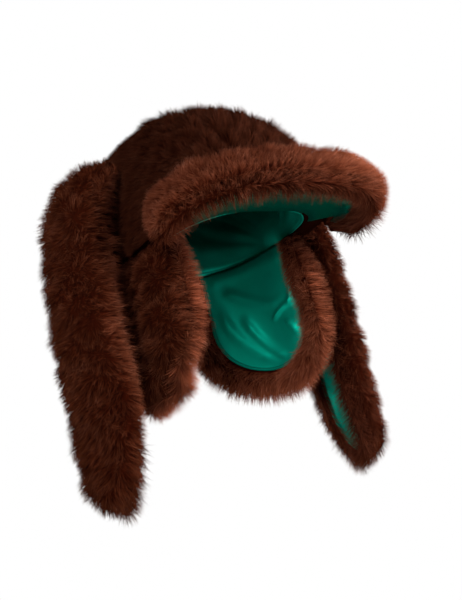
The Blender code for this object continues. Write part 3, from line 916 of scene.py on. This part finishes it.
def edge_fullness(share):
    """A quarter circle: how thick the fur is at a share of the way in from its edge."""
    return np.sqrt(np.clip(1.0 - (1.0 - share) ** 2, 0.0, 1.0))


def tuck_fullness(share):
    """A hump of sine: how far the fur bulges on the satin side, half at the edge, none at the seam."""
    return np.sin(math.pi * (1.0 / 6.0 + share * 5.0 / 6.0))


# %% [markdown]
# The hairs of the peak point outwards from the crown, and those of its ends fan out sideways.
# The fur that rolls under is a second skin on the back grid, and a third closes the edge.

# %% Dress the peak
EDGE_INSET = 0.0118
LEAN_EDGE = math.radians(28.0)
UNDER_LENGTH = 0.025
LEAN_UNDER = math.radians(38.0)
UNDER_FULLNESS = 0.6
# Painted light: the peak's hairs and backing are lightened by a fifth.
PEAK_PAINTED_LIGHT = 1.22
PEAK_SHARES = {"face": 0.54, "under": 0.30, "edge": 0.16}
PEAK_FAN = 0.5
PEAK_END_HAIR = 0.55
PEAK_STEPS = 110
FRINGE_STEPS = 10
FRINGE_PACKING = 1.5
REST_STEPS = 12
PEAK_FLOW_STEP = 1e-4


def peak_grids():
    """The face and the back of the peak's backing, and how far in from the edge each point is."""
    angle_share = np.linspace(-1.0, 1.0, PEAK_STEPS + 1)[:, None]
    whole = peak_length(angle_share)
    fringe = np.minimum(PEAK_FRINGE, PEAK_FRINGE_SHARE * whole)
    inset = EDGE_INSET * fringe / PEAK_FRINGE
    share = np.linspace(0.0, 1.0, FRINGE_STEPS + 1)[None] ** FRINGE_PACKING
    rest = np.linspace(0.0, 1.0, REST_STEPS + 1)[None, 1:]
    from_edge = np.concatenate([inset + (fringe - inset) * share, fringe + (whole - fringe) * rest], axis=1)
    out = whole - from_edge
    share = np.broadcast_to(np.concatenate([share, np.ones_like(rest)], axis=1), out.shape)
    angle_share = np.broadcast_to(angle_share, out.shape)
    taper = smooth_step((1.0 - np.abs(angle_share)) / PEAK_END_TAPER)
    ends = PEAK_END_FULLNESS + (1.0 - PEAK_END_FULLNESS) * taper
    brow_length = np.radians(PEAK_HALF_ANGLE) * (HEAD_HALF_LENGTH + FUR_LAYER + FUR_THICKNESS)
    tufts = LOCK_RELIEF * locks(angle_share * brow_length, out) * smooth_step(out / PADDING)
    top = edge_fullness(share) * ends * (FUR_THICKNESS - INSET + tufts)
    under = tuck_fullness(share) * ends * PEAK_TUCK
    face = peak_point(angle_share, out, top)
    back = peak_point(angle_share, out, -under)
    return angle_share, out, share, ends, face, back


def dress_peak(budget, seed):
    """The peak's fur, with its face, the rolled strip of its back and its edge as skins."""
    angle_share, out, share, ends, face, back = peak_grids()
    step = PEAK_FLOW_STEP
    near = np.maximum(out, step)
    outward = peak_point(angle_share, near + step, 0.0) - peak_point(angle_share, near, 0.0)
    sideways = peak_point(angle_share + step, near, 0.0) - peak_point(angle_share - step, near, 0.0)
    flow = unit(outward) + PEAK_FAN * angle_share[..., None] * unit(sideways)
    up = np.array([0.0, 0.0, 1.0])
    strip = (slice(None), slice(FRINGE_STEPS + 1))
    under_share, under_ends = share[strip], ends[:, :1]
    skins = [
        make_skin(
            face,
            grid_normals(face, up),
            flow,
            HAIR_LENGTH * (PEAK_END_HAIR + (1.0 - PEAK_END_HAIR) * ends),
            LEAN_EDGE + (LEAN_FLAT - LEAN_EDGE) * share,
            1.0,
            PEAK_SHARES["face"],
            PEAK_PAINTED_LIGHT,
        ),
        make_skin(
            back[strip],
            grid_normals(back, -up)[strip],
            flow[strip],
            UNDER_LENGTH * under_ends * (UNDER_FULLNESS + (1.0 - UNDER_FULLNESS) * under_share),
            LEAN_UNDER * (1.0 - 2.0 * under_share),
            0.5 + 1.5 * under_share,
            PEAK_SHARES["under"],
            PEAK_PAINTED_LIGHT,
        ),
        edge_skin(face, back, flow[:, :1], EDGE_LENGTH * under_ends, PEAK_SHARES["edge"], PEAK_PAINTED_LIGHT),
    ]
    fur_piece("peak", closed_body(face, back, False), skins, budget, seed)


dress_peak(TRIANGLES["peak"], SEEDS["peak"])

# %% [markdown]
# ## Tongues
#
# An ear flap and a long ear are both tongues: straight sides and a round tip. A flat tongue is
# drawn first, with rays from its edge to its middle line, and then laid on a curved surface.
# That keeps the fur, its edge and the satin in step, because all three are distances along
# the same rays.

# %% Draw a flat tongue
EAR_LENGTH = 0.362
EAR_ROUND = 0.150
EAR_TUCK = 0.005
EAR_LINING_START = 0.120
FLAP_HALF_WIDTH = 0.063
FLAP_LENGTH = 0.136
FLAP_ROUND = 0.066
FLAP_FRINGE = 0.0335
FLAP_TUCK = 0.008
OUTLINE_POINTS = 600

FLAP_SIZES = {
    "half_width": FLAP_HALF_WIDTH,
    "length": FLAP_LENGTH,
    "round": FLAP_ROUND,
    "fringe": FLAP_FRINGE,
    "tuck": FLAP_TUCK,
    "lining_start": 0.0,
    "steps": 120,
    # Painted shade on the flap's face, and painted light, nearly double, on its fringe.
    "painted_light": 0.75,
    "fringe_painted_light": 1.95,
}
EAR_SIZES = {
    "half_width": EAR_HALF_WIDTH,
    "length": EAR_LENGTH,
    "round": EAR_ROUND,
    "fringe": EAR_FRINGE,
    "tuck": EAR_TUCK,
    "lining_start": EAR_LINING_START,
    "steps": 150,
    # Painted shade on the ear's face and, a little, on its fringe.
    "painted_light": 0.80,
    "fringe_painted_light": 0.95,
}


def tongue_edge(sizes):
    """The edge in equal steps: a straight side, half an ellipse and the other straight side."""
    half_width = sizes["half_width"] + sizes["fringe"]
    tip = sizes["round"] + sizes["fringe"]
    straight = sizes["length"] + sizes["fringe"] - tip
    turn = np.linspace(-0.5 * math.pi, 0.5 * math.pi, OUTLINE_POINTS)
    across = np.concatenate([[-half_width], half_width * np.sin(turn), [half_width]])
    down = np.concatenate([[0.0], straight + tip * np.cos(turn), [0.0]])
    travelled = np.concatenate([[0.0], np.cumsum(np.hypot(np.diff(across), np.diff(down)))])
    even = np.linspace(0.0, travelled[-1], sizes["steps"] + 1)
    edge = np.stack([np.interp(even, travelled, across), np.interp(even, travelled, down)], axis=-1)
    middle = np.stack([np.zeros(len(edge)), np.minimum(edge[:, 1], straight)], axis=-1)
    return edge, middle, even


def tongue_points(sizes, from_edge, from_seam):
    """Flat points on the rays: first at distances from the edge, then at shares seam to middle."""
    edge, middle, even = tongue_edge(sizes)
    inward = middle - edge
    reach = np.linalg.norm(inward, axis=-1, keepdims=True)
    rim = np.broadcast_to(from_edge, (len(edge), len(from_edge)))
    start = from_edge[-1]
    distance = np.concatenate([rim, start + (reach - start) * from_seam[None, 1:]], axis=1)
    flat = edge[:, None] + (inward / reach)[:, None] * distance[..., None]
    flat[:, -1, 0] = 0.0
    return flat, -inward / reach, distance, even


# %% [markdown]
# The flap hangs from the rim and flares outwards as it goes down. The ear leaves the crown
# slanting down, bends over until it hangs, and curls along its length towards the head.

# %% Lay tongues on their surfaces
FLAP_FOLD_PITCH = 0.062
EAR_ROOT_DIVE = 24.0
EAR_BEND_LENGTH = 0.062
EAR_CURL_RADIUS = 0.032
EAR_CURL_START = 0.030
EAR_CURL_RUN = 0.090
EAR_ROOT_CURL = 0.12
SPINE_MARGIN = 0.02
SPINE_STEPS = 400
NORMAL_STEP = 1e-4


def flap_shape(row):
    """The flap's cloth: rim angle by the distance across, radius by the rim, flare and folds."""

    def shape(across, down):
        middle = math.radians(row["middle"])
        angle = middle + across / rim_radius(middle, FUR_LAYER)
        grow = down / FLAP_LENGTH
        fold = row["fold"] * grow * np.cos(2 * math.pi * across / FLAP_FOLD_PITCH)
        radius = rim_radius(angle, FUR_LAYER) + down * math.tan(math.radians(row["flare"])) + fold
        return np.stack([radius * np.sin(angle), -radius * np.cos(angle), -GAP - down], axis=-1)

    return shape


def ear_spine(down, drift):
    """The ear's middle line, by adding up steps whose dive runs from slanting to upright."""
    ends = EAR_LENGTH + EAR_FRINGE
    steps = np.linspace(-SPINE_MARGIN, ends + SPINE_MARGIN, SPINE_STEPS)
    hanging = 0.5 * math.pi
    dive = (hanging - math.radians(EAR_ROOT_DIVE)) * np.exp(-steps / EAR_BEND_LENGTH) - hanging
    stride = np.gradient(steps)
    x = np.cumsum(np.cos(dive) * stride)
    z = np.cumsum(np.sin(dive) * stride)
    root = crown_seat(np.array([0.0, EAR_ROOT_Y, EAR_ROOT_HEIGHT]))
    x = x - np.interp(0.0, steps, x) + root[0]
    z = z - np.interp(0.0, steps, z) + root[2]
    y = root[1] + drift * smooth_step(steps / ends)
    place = np.stack([np.interp(down, steps, axis) for axis in (x, y, z)], axis=-1)
    return place, np.interp(down, steps, dive)


def ear_shape(row):
    """The ear's cloth: an arc across the spine, nearly flat at the root and then curled."""

    def shape(across, down):
        place, dive = ear_spine(down, row["drift"])
        grow = smooth_step((down - EAR_CURL_START) / EAR_CURL_RUN)
        curl = EAR_ROOT_CURL + (1.0 - EAR_ROOT_CURL) * grow
        radius = EAR_CURL_RADIUS / curl
        start = math.radians(row["twist"]) * curl
        turn = across / radius + start
        sideways = radius * (np.sin(turn) - np.sin(start))
        inwards = radius * (np.cos(start) - np.cos(turn))
        outward = np.stack([-np.sin(dive), np.zeros_like(dive), np.cos(dive)], axis=-1)
        back = np.array([0.0, 1.0, 0.0])
        return place + back * sideways[..., None] - outward * inwards[..., None]

    return shape


def cloth_normal(shape, across, down):
    """Unit normal on the fur side: the cross product of the slopes, turned over."""
    along_across = shape(across + NORMAL_STEP, down) - shape(across - NORMAL_STEP, down)
    along_down = shape(across, down + NORMAL_STEP) - shape(across, down - NORMAL_STEP)
    return -unit(np.cross(along_across, along_down))


# %% [markdown]
# The fur of a tongue lies downwards in the middle and fans out over the edge. Near the edge
# the hairs stand further off the backing, so the fringe is deep and soft.

# %% Dress a tongue
TONGUE_REST_STEPS = 12
DOWNWARD = 1.0
FAN = 1.5
FAN_START = 1.3
FAN_REACH = 1.8
SEWN_REACH = 0.035
SEWN_FULLNESS = 0.6
TUCK_BACKING = 0.6
FRINGE_LENGTH = 0.021
TONGUE_SHARES = {"face": 0.62, "back": 0.24, "edge": 0.14}
TONGUE_FLOW_STEP = 1e-3


def sewn_fullness(down):
    """Fuller with the distance from the seam at the root: from a share to 1, in an S."""
    return SEWN_FULLNESS + (1.0 - SEWN_FULLNESS) * smooth_step(down / SEWN_REACH)


def tongue_skin(sizes, shape, sign):
    """Face and back grids of the backing, the way the fur lies, and the share from the edge."""
    share = np.linspace(0.0, 1.0, FRINGE_STEPS + 1) ** FRINGE_PACKING
    from_edge = EDGE_INSET + (sizes["fringe"] - EDGE_INSET) * share
    rest = np.linspace(0.0, 1.0, TONGUE_REST_STEPS + 1)
    flat, outward, distance, _ = tongue_points(sizes, from_edge, rest)
    across, down = flat[..., 0], flat[..., 1]
    share = np.concatenate([share, np.ones(TONGUE_REST_STEPS)])[None] * np.ones_like(across)
    tufts = LOCK_RELIEF * locks(across, down) * smooth_step(down / LOCK_PITCH)
    cloth, normal = shape(across, down), cloth_normal(shape, across, down)
    height = edge_fullness(share) * (FUR_THICKNESS - INSET + tufts) * sewn_fullness(down)
    depth = tuck_fullness(share) * sizes["tuck"] * TUCK_BACKING * (share < 1.0)
    face = cloth + normal * height[..., None]
    back = cloth - normal * depth[..., None]
    fan = FAN * np.clip(FAN_START - distance / (sizes["fringe"] * FAN_REACH), 0.0, 1.0)
    way = unit(np.stack([fan * outward[:, :1], DOWNWARD + fan * outward[:, 1:]], axis=-1))
    ahead = shape(across + TONGUE_FLOW_STEP * way[..., 0], down + TONGUE_FLOW_STEP * way[..., 1])
    mirror = np.array([sign, 1.0, 1.0])
    return face * mirror, back * mirror, normal * mirror, (ahead - cloth) * mirror, share, down


def dress_tongue(node, sizes, shape, sign, budget, seed):
    """A tongue's fur: its whole face, its edge, and its back where no satin covers it."""
    face, back, normal, flow, share, down = tongue_skin(sizes, shape, sign)
    bare = np.clip((share < 1.0) + (down < sizes["lining_start"]), 0.0, 1.0)
    sewn = sewn_fullness(down)
    skins = [
        make_skin(
            face,
            grid_normals(face, normal),
            flow,
            HAIR_LENGTH * sewn,
            LEAN_EDGE + (LEAN_FLAT - LEAN_EDGE) * share,
            1.0,
            TONGUE_SHARES["face"],
            sizes["painted_light"],
        ),
        make_skin(
            back,
            grid_normals(back, -normal),
            flow,
            FRINGE_LENGTH * sewn,
            LEAN_FLAT,
            bare,
            TONGUE_SHARES["back"],
            sizes["fringe_painted_light"],
        ),
        edge_skin(
            face,
            back,
            flow[:, :1],
            FRINGE_LENGTH * sewn[:, :1],
            TONGUE_SHARES["edge"],
            sizes["fringe_painted_light"],
        ),
    ]
    fur_piece(node, closed_body(face, back, True), skins, budget, seed)


for side_row, flap_seed, ear_seed in zip(SIDES, SEEDS["flaps"], SEEDS["ears"]):
    side_name, sign = side_row["side"], side_row["sign"]
    flap, ear = flap_shape(side_row), ear_shape(side_row)
    dress_tongue(f"ear_flap_{side_name}", FLAP_SIZES, flap, sign, TRIANGLES["flap"], flap_seed)
    dress_tongue(f"long_ear_{side_name}", EAR_SIZES, ear, sign, TRIANGLES["ear"], ear_seed)

# %% [markdown]
# ## The satin
#
# The satin is thin and a little too large for the hollow it lines, so it lies in soft slanting
# wrinkles. They are part of its shape: ridges along tilted lines that fade in and out. A flap
# bends where it leaves the head, so its satin has a few folds of its own, each along a bowed
# line. Near a seam the cloth is held, and a narrow welt runs along the edge.

# %% Wrinkle and sew the satin
SATIN_SHOWN = 0.0007
RIDGE_BEND = 9.0
RIDGE_POWER = 1.4
SWELL_WAVES = 0.7
WELT_HEIGHT = 0.0015
WELT_PLACE = 0.0020
WELT_WIDTH = 0.0013
WRINKLE_HEIGHT = 0.0052
WRINKLE_WAVES = (
    {"turn": 62.0, "pitch": 0.047, "phase": 0.4, "height": 1.0},
    {"turn": 118.0, "pitch": 0.071, "phase": 1.9, "height": 0.9},
    {"turn": 35.0, "pitch": 0.029, "phase": 3.1, "height": 0.35},
)


def wrinkles(across, down):
    """A sum of ridges: each is a sine along a tilted line, sharpened, times a slow swell."""
    total = np.zeros_like(across)
    for wave in WRINKLE_WAVES:
        turn = math.radians(wave["turn"])
        along = across * math.cos(turn) + down * math.sin(turn)
        beside = down * math.cos(turn) - across * math.sin(turn)
        ridge = np.sin(2 * math.pi * along / wave["pitch"] + wave["phase"] + RIDGE_BEND * beside)
        swell = np.sin(2 * math.pi * SWELL_WAVES * beside / wave["pitch"] + 2.0 * wave["phase"])
        total += wave["height"] * np.sign(ridge) * np.abs(ridge) ** RIDGE_POWER * (0.5 + 0.5 * swell)
    return WRINKLE_HEIGHT * (1.0 + total / len(WRINKLE_WAVES))


FLAP_PUFF = 0.0014
FOLD_FADE = 0.3
FLAP_FOLDS = (
    {"start": (-1.00, 0.50), "end": (-0.20, 0.57), "bow": -0.003, "width": 0.0032, "height": 0.0042},
    {"start": (-0.45, 0.47), "end": (0.60, 0.20), "bow": 0.006, "width": 0.0060, "height": 0.0048},
    {"start": (-0.90, 0.22), "end": (-0.72, 0.52), "bow": 0.002, "width": 0.0040, "height": 0.0030},
    {"start": (0.80, 0.38), "end": (0.10, 0.90), "bow": -0.006, "width": 0.0070, "height": 0.0040},
    {"start": (0.40, 0.50), "end": (-0.20, 0.92), "bow": -0.005, "width": 0.0055, "height": 0.0038},
    {"start": (-0.50, 0.64), "end": (-0.72, 0.92), "bow": 0.003, "width": 0.0045, "height": 0.0030},
    {"start": (1.00, 0.08), "end": (-1.00, 0.12), "bow": 0.004, "width": 0.0090, "height": 0.0026},
)


def folds(across, down):
    """A sum of ridges along lines: height times a bell of the distance from the bowed line."""
    total = np.zeros_like(across)
    for row in FLAP_FOLDS:
        start_across, start_down = row["start"][0] * FLAP_HALF_WIDTH, row["start"][1] * FLAP_LENGTH
        run = row["end"][0] * FLAP_HALF_WIDTH - start_across
        drop = row["end"][1] * FLAP_LENGTH - start_down
        long = math.hypot(run, drop)
        along = ((across - start_across) * run + (down - start_down) * drop) / long**2
        beside = ((across - start_across) * drop - (down - start_down) * run) / long
        beside = beside + row["bow"] * np.sin(math.pi * along)
        faded = smooth_step(0.5 + along / FOLD_FADE) * smooth_step(0.5 + (1.0 - along) / FOLD_FADE)
        total += row["height"] * np.exp(-((beside / row["width"]) ** 2)) * faded
    return FLAP_PUFF + total


def welt(from_seam):
    """A narrow ridge along the seam: a bell curve of the distance from it."""
    return WELT_HEIGHT * np.exp(-(((from_seam - WELT_PLACE) / WELT_WIDTH) ** 2))


def satin_piece(node, near_fur, thickness_way, numbers, folded):
    """The numbers are each point's distance along the edge, in from it, and how hidden it is.
    """
    face = near_fur + thickness_way * SATIN_SHOWN
    points, triangles = closed_body(face, near_fur, folded)
    over = near_fur.shape[:2]
    both = {key: np.tile(np.broadcast_to(value, over).ravel(), 2) for key, value in numbers.items()}
    mesh = welded_mesh(node, points, triangles, both)
    corner = np.empty(len(mesh.loops), dtype=np.int32)
    mesh.loops.foreach_get("vertex_index", corner)
    stored = np.empty((2, len(mesh.vertices)), dtype=np.float32)
    for number, key in enumerate(("along", "inward")):
        mesh.attributes[key].data.foreach_get("value", stored[number])
    layer = mesh.uv_layers.new(name="cloth")
    layer.uv.foreach_set("vector", np.ascontiguousarray(stored[:, corner].T).ravel())
    mesh.shade_smooth()
    mesh.materials.append(satin_material)
    piece = bpy.data.objects.new(f"{node}_satin", mesh)
    bpy.context.scene.collection.objects.link(piece)
    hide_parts(node)
    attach(piece, "root")
    print(f"{piece.name}: {len(mesh.polygons)} triangles")


def grid_area(points):
    """Area of a grid's cells, as the lengths of their cross products."""
    along = points[1:, :-1] - points[:-1, :-1]
    across = points[:-1, 1:] - points[:-1, :-1]
    return float(np.linalg.norm(np.cross(along, across), axis=-1).sum())


# %% [markdown]
# The satin of a flap or an ear fills the tongue inside its seam. The first few columns of its
# grid are close together, because the welt is only a couple of millimetres wide.

# %% Line the tongues
SEAM_SLACK = 0.0007
WELT_STEPS = 14
WELT_REACH = 0.0065
PANEL_COLUMNS = 34
HELD_REACH = 0.014


def line_tongue(node, sizes, shape, sign, slack):
    """A satin tongue just clear of the fur's cloth side, from the seam to the middle line."""
    from_edge = sizes["fringe"] + SEAM_SLACK + np.linspace(0.0, WELT_REACH, WELT_STEPS + 1)
    panel = np.linspace(0.0, 1.0, PANEL_COLUMNS + 1)
    flat, _, distance, even = tongue_points(sizes, from_edge, panel)
    edge = tongue_edge(sizes)[0]
    first = np.count_nonzero(edge[: len(edge) // 2, 1] < sizes["lining_start"])
    keep = slice(first, len(flat) - first)
    flat, distance = flat[keep], distance[keep]
    across, down = flat[..., 0], flat[..., 1]
    from_seam = distance - sizes["fringe"]
    held = smooth_step((from_seam - WELT_REACH * 0.5) / HELD_REACH)
    lifted = LAYER_GAP + held * slack(across, down) + welt(from_seam)
    normal = cloth_normal(shape, across, down)
    mirror = np.array([sign, 1.0, 1.0])
    near_fur = (shape(across, down) - normal * lifted[..., None]) * mirror
    numbers = {"along": even[keep][:, None], "inward": from_seam, "hidden": 0.0}
    cut = {
        "size": (2.0 * float(np.abs(across).max()), float(down.max() - down.min())),
        "area": grid_area(np.pad(flat, ((0, 0), (0, 0), (0, 1)))),
    }
    satin_piece(node, near_fur, -normal * mirror, numbers, True)


for side_row in SIDES:
    side_name, sign = side_row["side"], side_row["sign"]
    for name, sizes, shape, slack in (
        ("ear_flap", FLAP_SIZES, flap_shape(side_row), folds),
        ("long_ear", EAR_SIZES, ear_shape(side_row), wrinkles),
    ):
        line_tongue(f"{name}_lining_{side_name}", sizes, shape, sign, slack)

# %% [markdown]
# The crown's lining is cut like the crown, so two seams run over the head, and it darkens with
# the height above the rim. The peak's lining is gathered where it turns in under the brow.

# %% Line the crown and the peak
THICKNESS_STEP = 0.001
LINING_ARCS = 96
LINING_SHARES = 44
CROWN_HELD_REACH = 0.03
CROWN_HELD_SHARE = 0.05
CROWN_SEAM_DIP = 0.0012
CROWN_SEAM_SPREAD = 0.0022
CROWN_HIDDEN = 0.86
HIDDEN_RISE = 0.045
PEAK_COLUMNS = 18
PEAK_GATHER = 0.0011
PEAK_GATHER_PITCH = 0.0135
PEAK_GATHER_REACH = 0.02
PEAK_GATHER_WANDER = 31.0
PEAK_ROOT_REACH = 0.01
PEAK_HELD_START = 0.003
PEAK_HIDDEN = 0.92


def line_crown():
    """A thin dome inside the padding, with a shallow groove along each seam."""
    shares = np.sin(np.linspace(-0.5 * math.pi, 0.5 * math.pi, LINING_SHARES + 1))
    width_share, arc_share = np.meshgrid(shares, np.linspace(0.0, 1.0, LINING_ARCS + 1), indexing="ij")
    across = width_share * HEAD_HALF_WIDTH * DOME_GIRTH
    down = arc_share * math.pi * HEAD_DEPTH
    from_rim = math.pi * HEAD_DEPTH * (0.5 - np.abs(arc_share - 0.5))
    held = smooth_step(from_rim / CROWN_HELD_REACH)
    held = held * smooth_step((1.0 - np.abs(width_share)) / CROWN_HELD_SHARE)
    from_seam = (np.abs(width_share) - seam_share()) * HEAD_HALF_WIDTH
    dip = CROWN_SEAM_DIP * np.exp(-((from_seam / CROWN_SEAM_SPREAD) ** 2))
    layer = SATIN - held * (wrinkles(across, down) - dip)
    near_fur = dome(width_share, arc_share, layer)
    inward = dome(width_share, arc_share, layer - THICKNESS_STEP) - near_fur
    thickness_way = unit(inward - np.array([0.0, 0.0, 1e-9]))
    hidden = CROWN_HIDDEN * smooth_step(near_fur[..., 2] / HIDDEN_RISE)
    numbers = {"along": down, "inward": from_rim + STITCH_PITCH, "hidden": hidden}
    satin_piece("crown_lining", near_fur, thickness_way, numbers, False)


def line_peak():
    """A thin crescent under the peak, gathered towards the brow, with a tab inside the rim."""
    angle_share = np.linspace(-PEAK_LINING_REACH, PEAK_LINING_REACH, 2 * PEAK_STEPS + 1)[:, None]
    whole = peak_length(angle_share)
    length = whole - np.minimum(PEAK_FRINGE, PEAK_FRINGE_SHARE * whole) - PEAK_LINING_SLACK
    tab_end = (np.abs(angle_share) * PEAK_HALF_ANGLE - PEAK_LINING_TAB_ANGLE) / PEAK_LINING_TAB_FADE
    tab = -FUR_THICKNESS * (1.0 - smooth_step(tab_end))
    share = np.linspace(0.0, 1.0, PEAK_COLUMNS + 1)[None]
    thirds = share[:, PEAK_COLUMNS // 3 :: PEAK_COLUMNS // 3]
    outer_part = length + (PEAK_LINING_SLACK - length) * share
    inner_part = PEAK_LINING_SLACK + (tab - PEAK_LINING_SLACK) * thirds
    out = np.concatenate([outer_part, inner_part], axis=1)
    angle_share = np.broadcast_to(angle_share, out.shape)
    from_edge = length - out
    brow = np.radians(PEAK_HALF_ANGLE) * angle_share * (HEAD_HALF_LENGTH + FUR_LAYER + FUR_THICKNESS)
    near_root = smooth_step(out / PEAK_ROOT_REACH)
    gather = PEAK_GATHER * np.cos(2 * math.pi * brow / PEAK_GATHER_PITCH)
    gather = gather * smooth_step(from_edge / PEAK_GATHER_REACH)
    gather = gather * (0.6 + 0.4 * np.sin(PEAK_GATHER_WANDER * brow)) * near_root
    held = smooth_step((from_edge - PEAK_HELD_START) / HELD_REACH) * near_root
    lifted = LAYER_GAP + wrinkles(brow, out) * held + gather + welt(from_edge)
    near_fur = peak_point(angle_share, out, -lifted)
    under = unit(peak_point(angle_share, out, -lifted - THICKNESS_STEP) - near_fur)
    numbers = {"along": brow, "inward": from_edge, "hidden": PEAK_HIDDEN}
    satin_piece("peak_lining", near_fur, under, numbers, False)


line_crown()
line_peak()
